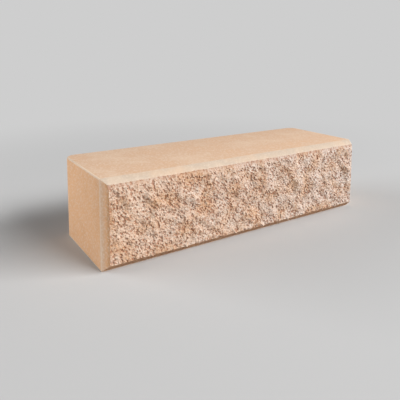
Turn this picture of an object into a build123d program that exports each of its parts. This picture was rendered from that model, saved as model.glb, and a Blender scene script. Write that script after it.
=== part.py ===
from build123d import *
import os
from collections import namedtuple
from math import ceil, cos, exp, pi, radians, sin, sqrt
from random import Random

# Split-face facing brick, in millimetres, as it lies on its bed. +X runs along its length,
# the split face looks towards -Y and the bed is at Z = 0, with the origin at its middle.
# The brick is one half of a pressed block that was broken in two along a V groove, so its
# front is a rough fracture, framed by the smooth flanks of the half groove.

# Pressed block
length = 250.0
depth = 85.0  # from the back face to the plane of the break
height = 65.0
back_corner_radius = 8.0  # upright corners of the back
arris_radius = 1.0  # edges round the top and the bed

# Half of the V groove
groove_setback = 7.0  # from the plane of the break back to where the flank starts
groove_inset = 4.0  # from the top or an end in to the root, where the break starts
bed_groove_inset = 6.0  # the same from the bed

# Steps of the fracture
scarp_rise = 2.2  # height of the tallest step
scarp_width = 5.0  # from the foot of a step to its crest
scarp_fall = 15.0  # from the crest to the end of the gentle slope behind it
wander = 2.2  # how far the line of a step strays from straight
wander_length = 21.0  # from one stray to the next

# Rolling ground between the steps
swell_rise = 0.7
swell_length = 18.0  # from one swell to the next, on average
swell_headings = 9  # directions that the swells run in
golden_angle = 137.5  # degrees from one heading to the next, so that none is repeated

# Facets that the fracture is broken into
facet_pitch = 3.5  # from one corner of a facet to the next
facet_stray = 1.1  # how far a corner strays from even spacing
facet_jut = 0.7  # how far a corner juts out of the ground or sinks into it
dice = Random(1)  # throws the same strays on each build

# Fracture as a whole
root_band = 7.0  # width over which the relief fades towards the root of the groove
root_share = 0.25  # share of the relief that is left at the root

# Steps of the fracture, placed by hand. Each has the place of its middle, along the half
# length and up the height, the reach of its crest as a share of the height, the turn of
# the crest from level in degrees, and its rise as a share of the tallest.
Scarp = namedtuple("Scarp", "along up reach turn rise")
scarps = (
    Scarp(along=-0.95, up=0.53, reach=0.12, turn=-45, rise=0.5),
    Scarp(along=-0.90, up=0.74, reach=0.17, turn=-25, rise=0.8),
    Scarp(along=-0.73, up=0.69, reach=0.16, turn=-65, rise=0.6),
    Scarp(along=-0.56, up=0.82, reach=0.25, turn=-45, rise=0.6),
    Scarp(along=-0.52, up=0.60, reach=0.18, turn=-15, rise=0.5),
    Scarp(along=-0.42, up=0.33, reach=0.25, turn=-25, rise=0.7),
    Scarp(along=-0.35, up=0.82, reach=0.17, turn=-42, rise=0.6),
    Scarp(along=-0.17, up=0.57, reach=0.22, turn=-13, rise=0.7),
    Scarp(along=-0.17, up=0.86, reach=0.14, turn=-18, rise=0.8),
    Scarp(along=0.08, up=0.62, reach=0.22, turn=-50, rise=0.6),
    Scarp(along=0.23, up=0.86, reach=0.17, turn=-8, rise=0.7),
    Scarp(along=0.26, up=0.42, reach=0.17, turn=-38, rise=0.5),
    Scarp(along=0.35, up=0.62, reach=0.32, turn=-64, rise=1.0),
    Scarp(along=0.53, up=0.74, reach=0.15, turn=-55, rise=0.6),
    Scarp(along=0.58, up=0.49, reach=0.26, turn=-10, rise=0.7),
    Scarp(along=0.86, up=0.84, reach=0.18, turn=-10, rise=0.5),
    Scarp(along=0.90, up=0.50, reach=0.30, turn=-67, rise=1.0),
)


def ease(value):
    """Smooth rise from 0 to 1 as the value goes from 0 to 1."""
    value = min(max(value, 0.0), 1.0)
    return value * value * (3.0 - 2.0 * value)


def step_height(scarp, x, z):
    """Height that one step gives the fracture at a point of the front."""
    turn = radians(scarp.turn)
    bend = 2 * pi / wander_length
    offset_x = x + wander * sin(bend * z + sin(bend * x / 2)) - scarp.along * length / 2
    offset_z = z + wander * sin(bend * x + sin(bend * z / 2)) - scarp.up * height
    along = offset_x * cos(turn) + offset_z * sin(turn)
    across = offset_z * cos(turn) - offset_x * sin(turn)
    climb = ease(across / scarp_width + 0.5)
    fall = ease((across - scarp_width / 2) / scarp_fall)
    return scarp.rise * scarp_rise * (climb - fall) * exp(-((along / (scarp.reach * height)) ** 4))


def swell_height(x, z):
    """Height of the rolling ground at a point of the front: waves from all directions."""
    total = 0.0
    for number in range(1, swell_headings + 1):
        heading = radians(number * golden_angle)
        wave_length = swell_length * (0.5 + number / swell_headings)
        run = x * cos(heading) + z * sin(heading)
        total += sin(2 * pi * run / wave_length + number * number)
    return swell_rise * total / sqrt(swell_headings)


def root_fade(x, z):
    """Share of the relief at a point: low at the root of the groove, 1 over the field."""
    from_end = length / 2 - groove_inset - abs(x)
    from_bed_or_top = min(z - bed_groove_inset, height - groove_inset - z)
    return root_share + (1 - root_share) * ease(from_end / root_band) * ease(from_bed_or_top / root_band)


def lattice(low, high):
    """Evenly spaced values from low to high, about a facet pitch apart."""
    spaces = ceil((high - low) / facet_pitch)
    return [low + (high - low) * place / spaces for place in range(spaces + 1)]


def corner(x, z):
    """Corner of the facets near a lattice point, as far to the front as the relief is high."""
    x += dice.uniform(-facet_stray, facet_stray)
    z += dice.uniform(-facet_stray, facet_stray)
    ground = swell_height(x, z) + sum(step_height(scarp, x, z) for scarp in scarps)
    relief = root_fade(x, z) * (ground + dice.uniform(-facet_jut, facet_jut))
    return Vector(x, -relief, z)


# Corners of the facets, on a lattice that runs past the block on all sides, and the way from
# there to the plane of the break, in which the mean of their relief lies
lattice_x = lattice(-length / 2 - facet_pitch, length / 2 + facet_pitch)
lattice_z = lattice(-facet_pitch, height + facet_pitch)
corners = [[corner(x, z) for x in lattice_x] for z in lattice_z]
mean_y = sum(point.Y for row in corners for point in row) / (len(lattice_x) * len(lattice_z))
to_break = Vector(0, -depth / 2 - mean_y, 0)

# Fracture surface: two facets to each cell of the lattice, which meet on its falling diagonal
facets = []
for lower, upper in zip(corners, corners[1:]):
    for low_left, low_right, up_left, up_right in zip(lower, lower[1:], upper, upper[1:]):
        for points in ((low_left, low_right, up_left), (low_right, up_right, up_left)):
            facets.append(Face(Wire.make_polygon([point + to_break for point in points])))
fracture = Shell(facets)

# The block is pressed deeper than the brick, and what is in front of the fracture breaks off
front = fracture.bounding_box().min.Y - facet_pitch
back = depth / 2
groove_start = groove_setback - depth / 2
groove_run = (groove_start - front) / groove_setback  # from there to the front, in setbacks
groove_drop = groove_run * groove_inset
bed_groove_drop = groove_run * bed_groove_inset

with BuildPart() as brick:
    with BuildSketch() as plan:
        with Locations((0, (front + back) / 2)):
            Rectangle(length, back - front)
        fillet(plan.vertices().group_by(Axis.Y)[-1], back_corner_radius)
    extrude(amount=height)

    front_edges = brick.faces().sort_by(Axis.Y)[0].edges()
    fillet(brick.faces().filter_by(Axis.Z).edges() - front_edges, arris_radius)

    # Groove along the bed and the top
    for edge, drop in ((0, bed_groove_drop), (height, -groove_drop)):
        with BuildSketch(Plane.YZ):
            with BuildLine():
                Polyline((groove_start, edge), (front, edge), (front, edge + drop), close=True)
            make_face()
        extrude(amount=length / 2, both=True, mode=Mode.SUBTRACT)

    # Groove up both ends
    for end, drop in ((-length / 2, groove_drop), (length / 2, -groove_drop)):
        with BuildSketch(Plane.XY):
            with BuildLine():
                Polyline((end, groove_start), (end, front), (end + drop, front), close=True)
            make_face()
        extrude(amount=height, mode=Mode.SUBTRACT)

    split(bisect_by=fracture, keep=Keep.BOTTOM)

brick.part.label = "split_face_brick"
os.makedirs("parts", exist_ok=True)
export_step(brick.part, "parts/split_face_brick.step")
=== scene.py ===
import math

import bmesh
import bpy
from mathutils import Matrix, Vector, noise
from mathutils.bvhtree import BVHTree


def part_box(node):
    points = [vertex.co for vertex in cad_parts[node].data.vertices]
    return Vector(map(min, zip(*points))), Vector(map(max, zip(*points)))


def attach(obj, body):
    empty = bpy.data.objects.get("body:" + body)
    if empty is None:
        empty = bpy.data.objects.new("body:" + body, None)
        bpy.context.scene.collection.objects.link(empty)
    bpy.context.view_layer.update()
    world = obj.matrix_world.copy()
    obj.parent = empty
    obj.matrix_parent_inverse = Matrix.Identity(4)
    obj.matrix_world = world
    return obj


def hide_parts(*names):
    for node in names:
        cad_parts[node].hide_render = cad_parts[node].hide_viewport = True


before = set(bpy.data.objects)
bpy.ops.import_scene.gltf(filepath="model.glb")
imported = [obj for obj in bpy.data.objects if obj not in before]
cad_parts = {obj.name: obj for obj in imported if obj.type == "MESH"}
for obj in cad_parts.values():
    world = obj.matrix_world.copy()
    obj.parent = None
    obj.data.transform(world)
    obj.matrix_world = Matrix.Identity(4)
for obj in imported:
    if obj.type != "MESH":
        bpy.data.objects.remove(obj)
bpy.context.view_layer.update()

# Split-face facing brick: a pressed block that was broken in two along a V groove. The body has
# the smooth skin of the mould, and the front is the bare fracture, all grains and pits.

MM = 0.001  # metres in a millimetre
NODE = "split_face_brick"
SEED = 1
noise.seed_set(SEED)  # without it, the warp of the grains would differ from run to run

# Sizes of the pressed block, read from the frame or repeated from the brick's drawing
LOW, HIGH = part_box(NODE)
HALF_LENGTH = HIGH.x
HEIGHT = HIGH.z
BACK = HIGH.y
BREAK = -HIGH.y  # plane of the break, as far in front of the origin as the back is behind it
PROUDEST = BREAK - LOW.y  # how far the tallest crest stands in front of that plane
GROOVE_SETBACK = 7.0 * MM
GROOVE_INSET = 4.0 * MM
BED_GROOVE_INSET = 6.0 * MM
GROOVE_START = BREAK + GROOVE_SETBACK
FLANK_SLOPE = GROOVE_INSET / GROOVE_SETBACK
BED_FLANK_SLOPE = BED_GROOVE_INSET / GROOVE_SETBACK
BACK_CORNER_RADIUS = 8.0 * MM
ARRIS_RADIUS = 1.0 * MM

# Meshing
CORNER_SEGMENTS = 12
ARRIS_SEGMENTS = 4
CELL = 0.375 * MM  # side of one cell of the fracture
ROOT_LENGTH = 2 * (HALF_LENGTH - GROOVE_INSET)
ROOT_HEIGHT = HEIGHT - GROOVE_INSET - BED_GROOVE_INSET
ROOT_MIDDLE = BED_GROOVE_INSET + ROOT_HEIGHT / 2
COLUMNS = round(ROOT_LENGTH / CELL)
ROWS = round(ROOT_HEIGHT / CELL)
SAME_PLACE = 0.01 * MM  # values that differ by less are taken as equal
MERGE_DISTANCE = 0.001 * MM  # corners of the frame's loose triangles that are closer are one
SHARP_ANGLE = math.radians(40)  # edges that turn by more look sharp
BROKEN = 1  # place of the broken face's material on the brick; the pressed skin's is 0

# Fracture along its root, where it meets the flanks of the groove
ROOT_MARGIN = 0.9 * MM  # the frame's fracture is read at least this far inside the root
FACET_WEAR = 1.5 * MM  # distance over which the edges of the frame's facets are worn round
ROOT_BAND = 3.0 * MM  # strip along the root in which the cells follow the flank
ROOT_GRAIN = 0.35  # share of the fine relief that is left at the root, but for the bed
BED_ROOT_GRAIN = 1.0  # the same along the bed
ROOT_STEPS = 0.4  # share of the frame's relief that is left at the root along the top and the ends
BED_HANG = 3.0 * MM  # strength of the crumbs that hang out along the bed; at most half of it shows
BED_HANG_LENGTH = 3.5 * MM  # from one such crumb to the next
BED_HANG_START = 1.2 * MM  # height over the root from which they hang freely
BED_SAG = 1.4  # how far they sag, as a share of how far they hang out
TOP_RECESS = 0.9 * MM  # how far the break starts behind its plane along the top
TOP_ROOT_PAINTED_SHADE = 0.35  # how far its colour is browned there, as painted shade under the flank's edge

# Fine relief of the fracture, in millimetres
GRAIN = 1.1  # width of a grain
GRAIN_STRETCH = 1.35  # how much longer a grain is than it is wide
GRAIN_TURN = math.radians(-45)  # grains slant down to the right
GRAIN_RISE = 0.28  # height of a grain over its rim
GRAIN_SCATTER = 0.3  # how far grains stand above or below each other
GRAIN_RIM = 0.7  # distance from the middle of a grain to its rim, in grain sizes
GRAIN_WARP = 0.4  # how far the rims stray from round
GRAIN_DRAWS = (17.0, 29.0)  # factors that give each grain two chance values, its stand and its tone
FALLEN_DEPTH = 0.33  # how much deeper it is where a grain has fallen out
FALLEN_SHARE = 0.16  # share of the grains that have fallen out of smooth ground
ROUGH_FALLEN_SHARE = 0.23  # the same on rough ground
ROUGH_PATCH = 13.0  # size of the rough and the smooth patches
ROUGH_LEVEL = 0.4  # how rough ground is on average
LEE_ROUGHNESS_AND_SHADE = 0.35  # how much rougher ground gets as it turns down and to the left; its warmer colour paints shade there
SMOOTH_SHARE = 0.85  # share of the relief that is left in the smoothest patches

# What the fracture's vertices are marked with, for its colours
FRACTURE_MARKS = ("hollow_and_painted_shade", "roughness_and_lee_shade", "pale")

# How pale the pressed skin is on each kind of face: 0 is warm and dark, 1 is the palest; the dark end
# paints shade, the pale end partly highlights
END_PALENESS = 0.5  # upright faces
BED_PALENESS = 0.75  # top and bed
# arrises: paler with wear and a painted highlight
ARRIS_WEAR_AND_HIGHLIGHT = 1.0
# top flank: paler and greyer than the top, a painted highlight
TOP_FLANK_PAINTED_HIGHLIGHT = 0.9
BED_FLANK_PAINTED_SHADE = 0.0  # where the flank along the bed starts, at the floor: painted shade, darkest there
BED_ROOT_PAINTED_SHADE = 0.2  # where it ends: painted shade, less dark
END_FLANK_WEAR_AND_HIGHLIGHT = 0.85  # where the flanks up the ends start: wear and a painted highlight
END_ROOT_PAINTED_SHADE = 0.3  # where they end: painted shade
LEVEL = 0.99999  # a face whose normal points up or down by more than this is level
UPRIGHT = 0.01  # one whose normal does so by no more than this is upright

# Colours of the pressed skin, from the least pale to the most; the darkest two are painted shade, the
# palest is also painted highlight
DARKEST_SKIN_PAINTED_SHADE = "84583A"
SKIN_TONES = ((BED_ROOT_PAINTED_SHADE, "A87648"), (END_PALENESS, "DBAA7F"), (BED_PALENESS, "D1AD8F"),
              (END_FLANK_WEAR_AND_HIGHLIGHT, "DBBEA3"), (TOP_FLANK_PAINTED_HIGHLIGHT, "CCB8A4"))
PALEST_SKIN_AND_HIGHLIGHT = "E6CDB4"
SAND = "E2D0BC"

# Patterns of the pressed skin
WORN_AND_HIGHLIT_STRIP = 2.2 * MM  # reach of the wear and painted highlight to each side of the edge where the groove starts
WORN_AND_HIGHLIGHT_PALENESS = 0.85
CLOUD = 25.0 * MM  # width of the cloudy shades of the mix
CLOUD_BLOOM = 0.05  # how much paler or darker they are
SPECK = 1.4 * MM  # width of a sand grain
SPECK_SHARE = 0.53  # how much of the sand's own colour shows at most
SPECK_HEIGHT = 0.15 * MM

# Colours of the broken face
SMOOTH_GROUND = "CEC3BA"
# rough ground; it also paints shade on slopes that turn down and to the left
ROUGH_GROUND_AND_LEE_SHADE = "C7A687"
OCHRE_GRAIN = "BA997C"
PINK_GRAIN = "C7AE9E"
CREAM_GRAIN = "D3CAC1"
LEFT_WARMTH = "FFF2E4"
# brown of stains and painted shade in hollows, and of painted shade in cracks
STAIN_AND_SHADE_BROWN = "884516"

# Patterns of the broken face
CRACK_LENGTH = 1.5 * MM
CRACK_WIDTH = 0.7 * MM
CRACK_PAINTED_SHADE = 0.76  # how brown the cracks between crumbs are painted, as their shade
HOLLOW_STAIN_AND_SHADE = 0.56  # how brown it is where a grain has fallen out: partly stain, partly painted shade
GRIT = 0.8 * MM  # width of the grit, which is too fine for the mesh
GRIT_HEIGHT = 0.3 * MM

# Stage, in metres
BACKDROP = "CECECE"
PAPER = "C5C5C5"
FLOOR_RADIUS = 4.0
FLOOR_SEGMENTS = 96
CLEAR_FROM, CLEAR_TO = 0.22, 0.65  # distance from the brick over which the floor becomes the backdrop
DOME_LIGHT = 0.02  # faint light from all around

# Camera: matched to the brick's outline in a 400 by 400 picture
PICTURE = 400.0
FOCAL_PIXELS = 454.05
CAMERA_AT = Vector((-228.23, -317.47, 150.88)) * MM
CAMERA_YAW = math.radians(32.942)  # to the right of straight at the front
CAMERA_PITCH = math.radians(6.455)  # below level
CAMERA_ROLL = math.radians(0.162)
AXIS_ABOVE_MIDDLE = 100.0  # pixels from the middle of the picture up to the camera's axis
SENSOR = 36.0
NEAREST_SEEN = 10.0 * MM


def srgb(code):
    """Linear RGBA of an sRGB hex colour."""
    parts = [int(code[place:place + 2], 16) / 255 for place in (0, 2, 4)]
    linear = [part / 12.92 if part <= 0.04045 else ((part + 0.055) / 1.055) ** 2.4 for part in parts]
    return linear + [1.0]


def add_node(tree, kind, links=None, **settings):
    """Adds a node with its settings; links gives its inputs, each a value or another node's output."""
    node = tree.nodes.new(kind)
    for name, value in settings.items():
        setattr(node, name, value)
    for socket, value in (links or {}).items():
        if isinstance(value, bpy.types.NodeSocket):
            tree.links.new(value, node.inputs[socket])
        else:
            node.inputs[socket].default_value = value
    return node


def ease(value):
    """Smooth rise from 0 to 1 as the value goes from 0 to 1."""
    value = min(max(value, 0.0), 1.0)
    return value * value * (3.0 - 2.0 * value)


def near(value, other):
    return abs(value - other) < SAME_PLACE


def edges_where(shape, test):
    """Edges of a bmesh whose two ends both pass a test of their place."""
    return [edge for edge in shape.edges if all(test(end.co) for end in edge.verts)]


def pressed_block(shape):
    """Pressed body behind the groove, open at the front. Returns the edges of its opening."""
    middle = Vector((0, (GROOVE_START + BACK) / 2, HEIGHT / 2))
    size = Matrix.Diagonal((2 * HALF_LENGTH, BACK - GROOVE_START, HEIGHT, 1))
    bmesh.ops.create_cube(shape, size=1.0, matrix=Matrix.Translation(middle) @ size)
    uprights = edges_where(shape, lambda co: near(co.y, BACK))
    uprights = [edge for edge in uprights if not near(edge.verts[0].co.z, edge.verts[1].co.z)]
    bmesh.ops.bevel(shape, geom=uprights, offset=BACK_CORNER_RADIUS, offset_type="OFFSET",
                    affect="EDGES", segments=CORNER_SEGMENTS, profile=0.5, material=-1)
    rims = edges_where(shape, lambda co: near(co.z, 0))
    rims += edges_where(shape, lambda co: near(co.z, HEIGHT))
    rims = [edge for edge in rims if not all(near(end.co.y, GROOVE_START) for end in edge.verts)]
    bmesh.ops.bevel(shape, geom=rims, offset=ARRIS_RADIUS, offset_type="OFFSET",
                    affect="EDGES", segments=ARRIS_SEGMENTS, profile=0.5, material=-1)
    front = min(shape.faces, key=lambda face: face.calc_center_median().y)
    opening = list(front.edges)
    bmesh.ops.delete(shape, geom=[front], context="FACES_ONLY")
    # Each corner of the opening has the arris's segments, so the straight sides take the rest
    longs = [edge for edge in opening if edge.calc_length() > HALF_LENGTH]
    shorts = [edge for edge in opening if HEIGHT / 2 < edge.calc_length() < HALF_LENGTH]
    bmesh.ops.subdivide_edges(shape, edges=longs, cuts=COLUMNS - ARRIS_SEGMENTS - 1)
    bmesh.ops.subdivide_edges(shape, edges=shorts, cuts=ROWS - ARRIS_SEGMENTS - 1)
    return [edge for edge in shape.edges if edge.is_boundary]


def read_frame(cad_surface, x, z):
    """Place and normal of the frame's fracture straight behind a point of the plane of the break."""
    side = ROOT_LENGTH / 2 - ROOT_MARGIN
    x = min(max(x, -side), side)
    z = min(max(z, BED_GROOVE_INSET + ROOT_MARGIN), HEIGHT - GROOVE_INSET - ROOT_MARGIN)
    return cad_surface.ray_cast(Vector((x, 2 * LOW.y, z)), Vector((0, 1, 0)))[:2]


def worn_ground(cad_surface, x, z):
    """How far the frame's fracture, with its facets worn round, stands in front of the plane of the
    break at a point, and how far it turns down and to the left there."""
    beside = ((0, 0), (FACET_WEAR, 0), (-FACET_WEAR, 0), (0, FACET_WEAR), (0, -FACET_WEAR))
    hits = [read_frame(cad_surface, x + aside, z + above) for aside, above in beside]
    ground = BREAK - sum(hit.y for hit, normal in hits) / len(hits)
    lee = sum(-normal.x - normal.z for hit, normal in hits) / len(hits)
    return ground, lee


def fine_relief(x, z, lee):
    """Height of the grain at a point, in millimetres, and how hollow, rough and pale it is there; lee
    slopes count as rough.
    """
    place = Vector((x, z, 0.0)) / MM
    roughness_and_lee_shade = ease(ROUGH_LEVEL + noise.noise(place / ROUGH_PATCH) + LEE_ROUGHNESS_AND_SHADE * lee)
    bent = place + GRAIN_WARP * noise.noise_vector(place / GRAIN)
    bent = Matrix.Rotation(-GRAIN_TURN, 3, "Z") @ bent
    bent.x /= GRAIN_STRETCH
    reach, middles = noise.voronoi(bent / GRAIN)
    stand, pale = [0.5 + 0.5 * noise.cell(middles[0] * draw) for draw in GRAIN_DRAWS]
    height = GRAIN_RISE * (1.0 - (reach[0] / GRAIN_RIM) ** 2) + GRAIN_SCATTER * (2 * stand - 1)
    height *= SMOOTH_SHARE + (1 - SMOOTH_SHARE) * roughness_and_lee_shade
    fallen = float(stand < FALLEN_SHARE + (ROUGH_FALLEN_SHARE - FALLEN_SHARE) * roughness_and_lee_shade)
    return height - FALLEN_DEPTH * fallen, fallen, roughness_and_lee_shade, pale


def place_on_break(vert, ground, fine):
    """Moves a vertex of the flat grid onto the break, so that the grid's rim lies on the flanks.
    Returns how close to the root along the top it is, from 0 to 1."""
    x, z = vert.co.x, vert.co.z
    from_end = ROOT_LENGTH / 2 - abs(x)
    from_bed = z - BED_GROOVE_INSET
    from_top = HEIGHT - GROOVE_INSET - z
    at_end, at_bed, at_top = [1 - ease(gap / ROOT_BAND) for gap in (from_end, from_bed, from_top)]
    grain_left = ROOT_GRAIN if from_bed > min(from_end, from_top) else BED_ROOT_GRAIN
    grain_share = 1 - (1 - grain_left) * max(at_end, at_bed, at_top)
    step_share = 1 - (1 - ROOT_STEPS) * max(at_end, at_top)
    rise = min(ground * step_share + fine * grain_share - TOP_RECESS * at_top, PROUDEST)
    crumb = max(noise.noise(Vector((x, 0, z)) / BED_HANG_LENGTH), 0.0)
    hang = BED_HANG * crumb * ease(from_bed / BED_HANG_START) * at_bed * (1 - at_end)
    vert.co.x -= math.copysign(1, x) * FLANK_SLOPE * rise * at_end
    vert.co.y = BREAK - min(rise + hang, PROUDEST)
    vert.co.z += BED_FLANK_SLOPE * rise * at_bed - BED_SAG * hang - FLANK_SLOPE * rise * at_top
    return at_top


def split_face(shape, cad_surface):
    """Fracture as a fine grid that stands in the plane of the break. Returns the edges of its rim."""
    layers = [shape.verts.layers.float[name] for name in FRACTURE_MARKS]
    stand = Matrix.Translation((0, BREAK, ROOT_MIDDLE)) @ Matrix.Rotation(math.pi / 2, 4, "X")
    size = Matrix.Diagonal((ROOT_LENGTH / 2, ROOT_HEIGHT / 2, 1, 1))
    grid = bmesh.ops.create_grid(shape, x_segments=COLUMNS, y_segments=ROWS, size=1.0,
                                 matrix=stand @ size)
    grounds, reliefs = [], []
    for vert in grid["verts"]:
        ground, lee = worn_ground(cad_surface, vert.co.x, vert.co.z)
        grounds.append(ground)
        reliefs.append(fine_relief(vert.co.x, vert.co.z, lee))
    mean = sum(relief[0] for relief in reliefs) / len(reliefs)
    for vert, ground, (height, hollow_and_painted_shade, roughness_and_lee_shade, pale) in zip(grid["verts"], grounds, reliefs):
        at_top = place_on_break(vert, ground, (height - mean) * MM)
        # Painted shade browns the colour along the root at the top, as in the hollows
        for layer, mark in zip(layers, (max(hollow_and_painted_shade, TOP_ROOT_PAINTED_SHADE * at_top), roughness_and_lee_shade, pale)):
            vert[layer] = mark
        for face in vert.link_faces:
            face.material_index = BROKEN
            face.smooth = True
    edges = [edge for vert in grid["verts"] for edge in vert.link_edges if edge.is_boundary]
    return list(dict.fromkeys(edges))


def lay_paleness_and_painted_light(shape):
    """Writes the paleness of each corner of the skin's faces, painted shade and highlights among it, and
    rounds the look of the curved ones.
    """
    paleness_and_painted_light_layer = shape.loops.layers.float["paleness_and_painted_light"]
    for face in shape.faces:
        if face.material_index == BROKEN:
            continue
        up, along = face.normal.z, abs(face.normal.x)
        flank = face.calc_center_median().y < GROOVE_START
        # Painted shade on the flank along the bed and at the end flanks' roots; painted highlight on the
        # top flank, arrises and end flanks' starts
        if flank and along > abs(up):
            start, root = END_FLANK_WEAR_AND_HIGHLIGHT, END_ROOT_PAINTED_SHADE
        elif flank and up > 0:
            start = root = TOP_FLANK_PAINTED_HIGHLIGHT
        elif flank:
            start, root = BED_FLANK_PAINTED_SHADE, BED_ROOT_PAINTED_SHADE
        elif abs(up) > LEVEL:
            start = root = BED_PALENESS
        else:
            start = root = ARRIS_WEAR_AND_HIGHLIGHT if abs(up) > UPRIGHT else END_PALENESS
        face.smooth = not flank
        for loop in face.loops:
            loop[paleness_and_painted_light_layer] = root if loop.vert.co.y < GROOVE_START - ARRIS_RADIUS else start


def build_brick(materials):
    """The whole brick as one closed mesh that takes the place of the frame's solid."""
    cad = bmesh.new()
    cad.from_mesh(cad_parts[NODE].data)
    bmesh.ops.remove_doubles(cad, verts=cad.verts, dist=MERGE_DISTANCE)
    cad_surface = BVHTree.FromBMesh(cad)
    shape = bmesh.new()
    for name in FRACTURE_MARKS:
        shape.verts.layers.float.new(name)
    shape.loops.layers.float.new("paleness_and_painted_light")
    opening = pressed_block(shape)
    rim = split_face(shape, cad_surface)
    bmesh.ops.bridge_loops(shape, edges=opening + rim)
    bmesh.ops.recalc_face_normals(shape, faces=shape.faces)
    lay_paleness_and_painted_light(shape)
    mesh = bpy.data.meshes.new("brick")
    shape.to_mesh(mesh)
    shape.free()
    cad.free()
    mesh.set_sharp_from_angle(angle=SHARP_ANGLE)
    for material in materials:
        mesh.materials.append(material)
    brick = bpy.data.objects.new("brick", mesh)
    bpy.context.scene.collection.objects.link(brick)
    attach(brick, "root")
    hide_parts(NODE)


def pressed_skin():
    """Semi-dry pressed clay and sand as it leaves the mould: flat, matt and finely speckled."""
    material = bpy.data.materials.new("pressed_brick_skin")
    material.use_nodes = True
    tree = material.node_tree
    tree.nodes.clear()
    place = add_node(tree, "ShaderNodeTexCoord").outputs["Object"]
    # Pale strip along the edge where the groove starts: wear and a painted highlight
    along = add_node(tree, "ShaderNodeSeparateXYZ", {"Vector": place}).outputs["Y"]
    from_groove = add_node(tree, "ShaderNodeMath", {0: along, 1: GROOVE_START},
                           operation="SUBTRACT").outputs[0]
    from_groove = add_node(tree, "ShaderNodeMath", {0: from_groove}, operation="ABSOLUTE").outputs[0]
    worn_and_highlit = add_node(tree, "ShaderNodeMapRange",
                    {"Value": from_groove, "From Min": 0.0, "From Max": WORN_AND_HIGHLIT_STRIP,
                     "To Min": WORN_AND_HIGHLIGHT_PALENESS, "To Max": 0.0},
                    interpolation_type="SMOOTHSTEP").outputs["Result"]
    paleness_and_painted_light = add_node(tree, "ShaderNodeAttribute", attribute_name="paleness_and_painted_light").outputs["Fac"]
    paleness_and_painted_light = add_node(tree, "ShaderNodeMath", {0: paleness_and_painted_light, 1: worn_and_highlit}, operation="MAXIMUM").outputs[0]
    # Cloudy shade of the mix
    cloud = add_node(tree, "ShaderNodeTexNoise",
                     {"Vector": place, "Scale": 1 / CLOUD, "Detail": 2.0}).outputs["Fac"]
    cloud = add_node(tree, "ShaderNodeMapRange",
                     {"Value": cloud, "From Min": 0.3, "From Max": 0.7,
                      "To Min": -CLOUD_BLOOM, "To Max": CLOUD_BLOOM}).outputs["Result"]
    paleness_and_painted_light = add_node(tree, "ShaderNodeMath", {0: paleness_and_painted_light, 1: cloud}).outputs[0]
    # Paleness turns into colour: painted shade at the dark end, wear and painted highlight at the pale
    # end
    ramp = add_node(tree, "ShaderNodeValToRGB", {"Fac": paleness_and_painted_light})
    first, last = ramp.color_ramp.elements
    first.color, last.color = srgb(DARKEST_SKIN_PAINTED_SHADE), srgb(PALEST_SKIN_AND_HIGHLIGHT)
    for level, tone in SKIN_TONES:
        ramp.color_ramp.elements.new(level).color = srgb(tone)
    # Sand grains that show as paler specks
    sand = add_node(tree, "ShaderNodeTexNoise",
                    {"Vector": place, "Scale": 1 / SPECK, "Detail": 2.0}).outputs["Fac"]
    speck = add_node(tree, "ShaderNodeMapRange",
                     {"Value": sand, "From Min": 0.47, "From Max": 0.72,
                      "To Min": 0.0, "To Max": SPECK_SHARE}).outputs["Result"]
    colour = add_node(tree, "ShaderNodeMix",
                      {"Factor": speck, "A": ramp.outputs["Color"], "B": srgb(SAND)}, data_type="RGBA")
    bump = add_node(tree, "ShaderNodeBump", {"Height": sand, "Strength": 0.25, "Distance": SPECK_HEIGHT})
    shader = add_node(tree, "ShaderNodeBsdfPrincipled",
                      {"Base Color": colour.outputs["Result"], "Roughness": 0.9, "IOR": 1.5,
                       "Normal": bump.outputs["Normal"]})
    add_node(tree, "ShaderNodeOutputMaterial", {"Surface": shader.outputs["BSDF"]})
    return material


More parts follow.
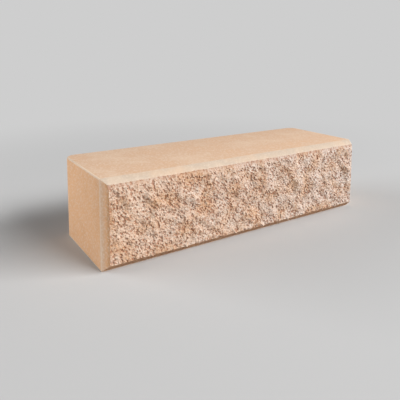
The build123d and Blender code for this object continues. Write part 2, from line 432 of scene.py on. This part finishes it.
def broken_face():
    """The same mix where it broke: grains in cream, pink and ochre, with brown in the hollows, partly
    stain and partly painted shade.
    """
    material = bpy.data.materials.new("broken_brick_face")
    material.use_nodes = True
    tree = material.node_tree
    tree.nodes.clear()
    place = add_node(tree, "ShaderNodeTexCoord").outputs["Object"]
    hollow_and_painted_shade, roughness_and_lee_shade, pale = [add_node(tree, "ShaderNodeAttribute", attribute_name=name).outputs["Fac"]
                           for name in FRACTURE_MARKS]
    # Rough patches are warmer than smooth ones; slopes that turn down and to the left count as rougher,
    # so this paints shade on them
    patch = add_node(tree, "ShaderNodeMix",
                     {"Factor": roughness_and_lee_shade, "A": srgb(SMOOTH_GROUND), "B": srgb(ROUGH_GROUND_AND_LEE_SHADE)},
                     data_type="RGBA").outputs["Result"]
    grains = add_node(tree, "ShaderNodeValToRGB", {"Fac": pale})
    first, last = grains.color_ramp.elements
    first.color, last.color = srgb(OCHRE_GRAIN), srgb(CREAM_GRAIN)
    grains.color_ramp.elements.new(0.5).color = srgb(PINK_GRAIN)
    mixed = add_node(tree, "ShaderNodeMix", {"Factor": 0.5, "A": patch, "B": grains.outputs["Color"]},
                     data_type="RGBA").outputs["Result"]
    # Towards the left end the mix is warmer
    along = add_node(tree, "ShaderNodeSeparateXYZ", {"Vector": place}).outputs["X"]
    warmth = add_node(tree, "ShaderNodeMapRange",
                      {"Value": along, "From Min": HALF_LENGTH,
                       "From Max": -HALF_LENGTH}).outputs["Result"]
    mixed = add_node(tree, "ShaderNodeMix", {"Factor": warmth, "A": mixed, "B": srgb(LEFT_WARMTH)},
                     data_type="RGBA", blend_type="MULTIPLY").outputs["Result"]
    # Painted shade of cracks between crumbs, which slant like the grains
    slant = add_node(tree, "ShaderNodeMapping",
                     {"Vector": place, "Rotation": (0, -GRAIN_TURN, 0),
                      "Scale": (CRACK_LENGTH, CRACK_WIDTH, CRACK_WIDTH)},
                     vector_type="TEXTURE").outputs["Vector"]
    crumbs = add_node(tree, "ShaderNodeTexNoise",
                      {"Vector": slant, "Scale": 1.0, "Detail": 1.0}).outputs["Fac"]
    crack_shade = add_node(tree, "ShaderNodeMapRange",
                     {"Value": crumbs, "From Min": 0.54, "From Max": 0.67,
                      "To Min": 0.0, "To Max": CRACK_PAINTED_SHADE}).outputs["Result"]
    # Brown where grains have fallen out, stain and painted shade, and painted shade in the cracks
    stain_and_shade = add_node(tree, "ShaderNodeMath", {0: hollow_and_painted_shade, 1: HOLLOW_STAIN_AND_SHADE},
                     operation="MULTIPLY").outputs[0]
    stain_and_shade = add_node(tree, "ShaderNodeMath", {0: stain_and_shade, 1: crack_shade}, operation="MAXIMUM").outputs[0]
    colour = add_node(tree, "ShaderNodeMix", {"Factor": stain_and_shade, "A": mixed, "B": srgb(STAIN_AND_SHADE_BROWN)},
                      data_type="RGBA")
    grit = add_node(tree, "ShaderNodeTexNoise",
                    {"Vector": place, "Scale": 1 / GRIT, "Detail": 2.0}).outputs["Fac"]
    bump = add_node(tree, "ShaderNodeBump", {"Height": grit, "Strength": 0.85, "Distance": GRIT_HEIGHT})
    shader = add_node(tree, "ShaderNodeBsdfPrincipled",
                      {"Base Color": colour.outputs["Result"], "Roughness": 0.95, "IOR": 1.5,
                       "Normal": bump.outputs["Normal"]})
    add_node(tree, "ShaderNodeOutputMaterial", {"Surface": shader.outputs["BSDF"]})
    return material


def studio_paper():
    """Matt paper that the camera sees run out into the backdrop, while it keeps the brick's shadow."""
    material = bpy.data.materials.new("studio_floor_paper")
    material.use_nodes = True
    tree = material.node_tree
    tree.nodes.clear()
    place = add_node(tree, "ShaderNodeTexCoord").outputs["Object"]
    distance = add_node(tree, "ShaderNodeVectorMath", {0: place}, operation="LENGTH").outputs["Value"]
    far = add_node(tree, "ShaderNodeMapRange",
                   {"Value": distance, "From Min": CLEAR_FROM, "From Max": CLEAR_TO},
                   interpolation_type="SMOOTHSTEP").outputs["Result"]
    rays = add_node(tree, "ShaderNodeLightPath").outputs
    seen = add_node(tree, "ShaderNodeMath", {0: far, 1: rays["Is Camera Ray"]},
                    operation="MULTIPLY").outputs[0]
    paper = add_node(tree, "ShaderNodeBsdfPrincipled",
                     {"Base Color": srgb(PAPER), "Roughness": 0.9, "Specular IOR Level": 0.2})
    glow = add_node(tree, "ShaderNodeEmission", {"Color": srgb(BACKDROP), "Strength": 1.0})
    both = add_node(tree, "ShaderNodeMixShader",
                    {0: seen, 1: paper.outputs["BSDF"], 2: glow.outputs["Emission"]})
    add_node(tree, "ShaderNodeOutputMaterial", {"Surface": both.outputs["Shader"]})
    return material


def build_stage():
    """Plain pale floor, and a world that looks like the backdrop and lights the brick faintly."""
    shape = bmesh.new()
    bmesh.ops.create_circle(shape, cap_ends=True, segments=FLOOR_SEGMENTS, radius=FLOOR_RADIUS)
    mesh = bpy.data.meshes.new("floor")
    shape.to_mesh(mesh)
    shape.free()
    mesh.materials.append(studio_paper())
    floor = bpy.data.objects.new("floor", mesh)
    bpy.context.scene.collection.objects.link(floor)

    world = bpy.data.worlds.new("studio")
    bpy.context.scene.world = world
    world.use_nodes = True
    tree = world.node_tree
    tree.nodes.clear()
    rays = add_node(tree, "ShaderNodeLightPath").outputs
    seen = rays["Is Camera Ray"]
    for kind in ("Is Glossy Ray", "Is Transmission Ray"):
        seen = add_node(tree, "ShaderNodeMath", {0: seen, 1: rays[kind]}, operation="MAXIMUM").outputs[0]
    dome = add_node(tree, "ShaderNodeBackground", {"Color": srgb("FFFFFF"), "Strength": DOME_LIGHT})
    backdrop = add_node(tree, "ShaderNodeBackground", {"Color": srgb(BACKDROP), "Strength": 1.0})
    both = add_node(tree, "ShaderNodeMixShader",
                    {0: seen, 1: dome.outputs["Background"], 2: backdrop.outputs["Background"]})
    add_node(tree, "ShaderNodeOutputWorld", {"Surface": both.outputs["Shader"]})


def add_lamp(name, heading, elevation, distance, width, height, power):
    """Soft lamp, wide and low, aimed at the brick; the heading is in degrees from +X towards +Y."""
    light = bpy.data.lights.new(name, "AREA")
    light.shape = "RECTANGLE"
    light.size = width
    light.size_y = height
    light.energy = power
    lamp = bpy.data.objects.new(name, light)
    bpy.context.scene.collection.objects.link(lamp)
    turn, lift = math.radians(heading), math.radians(elevation)
    toward = Vector((math.cos(turn) * math.cos(lift), math.sin(turn) * math.cos(lift), math.sin(lift)))
    lamp.location = Vector((0, 0, HEIGHT / 2)) + toward * distance
    lamp.rotation_euler = toward.to_track_quat("Z", "Y").to_euler()


def add_camera():
    camera = bpy.data.cameras.new("camera")
    camera.sensor_width = SENSOR
    camera.lens = FOCAL_PIXELS * SENSOR / PICTURE
    camera.shift_y = -AXIS_ABOVE_MIDDLE / PICTURE
    camera.clip_start = NEAREST_SEEN
    holder = bpy.data.objects.new("camera", camera)
    bpy.context.scene.collection.objects.link(holder)
    turned = (Matrix.Rotation(-CAMERA_YAW, 4, "Z") @ Matrix.Rotation(math.pi / 2 - CAMERA_PITCH, 4, "X")
              @ Matrix.Rotation(CAMERA_ROLL, 4, "Z"))
    holder.matrix_world = Matrix.Translation(CAMERA_AT) @ turned
    bpy.context.scene.camera = holder


build_brick([pressed_skin(), broken_face()])
build_stage()
add_lamp("key", heading=-53, elevation=32.5, distance=4.0, width=3.75, height=1.28, power=268)
add_lamp("second", heading=146, elevation=16, distance=4.0, width=3.2, height=1.2, power=136)
add_camera()
bpy.context.scene.view_settings.view_transform = "Standard"
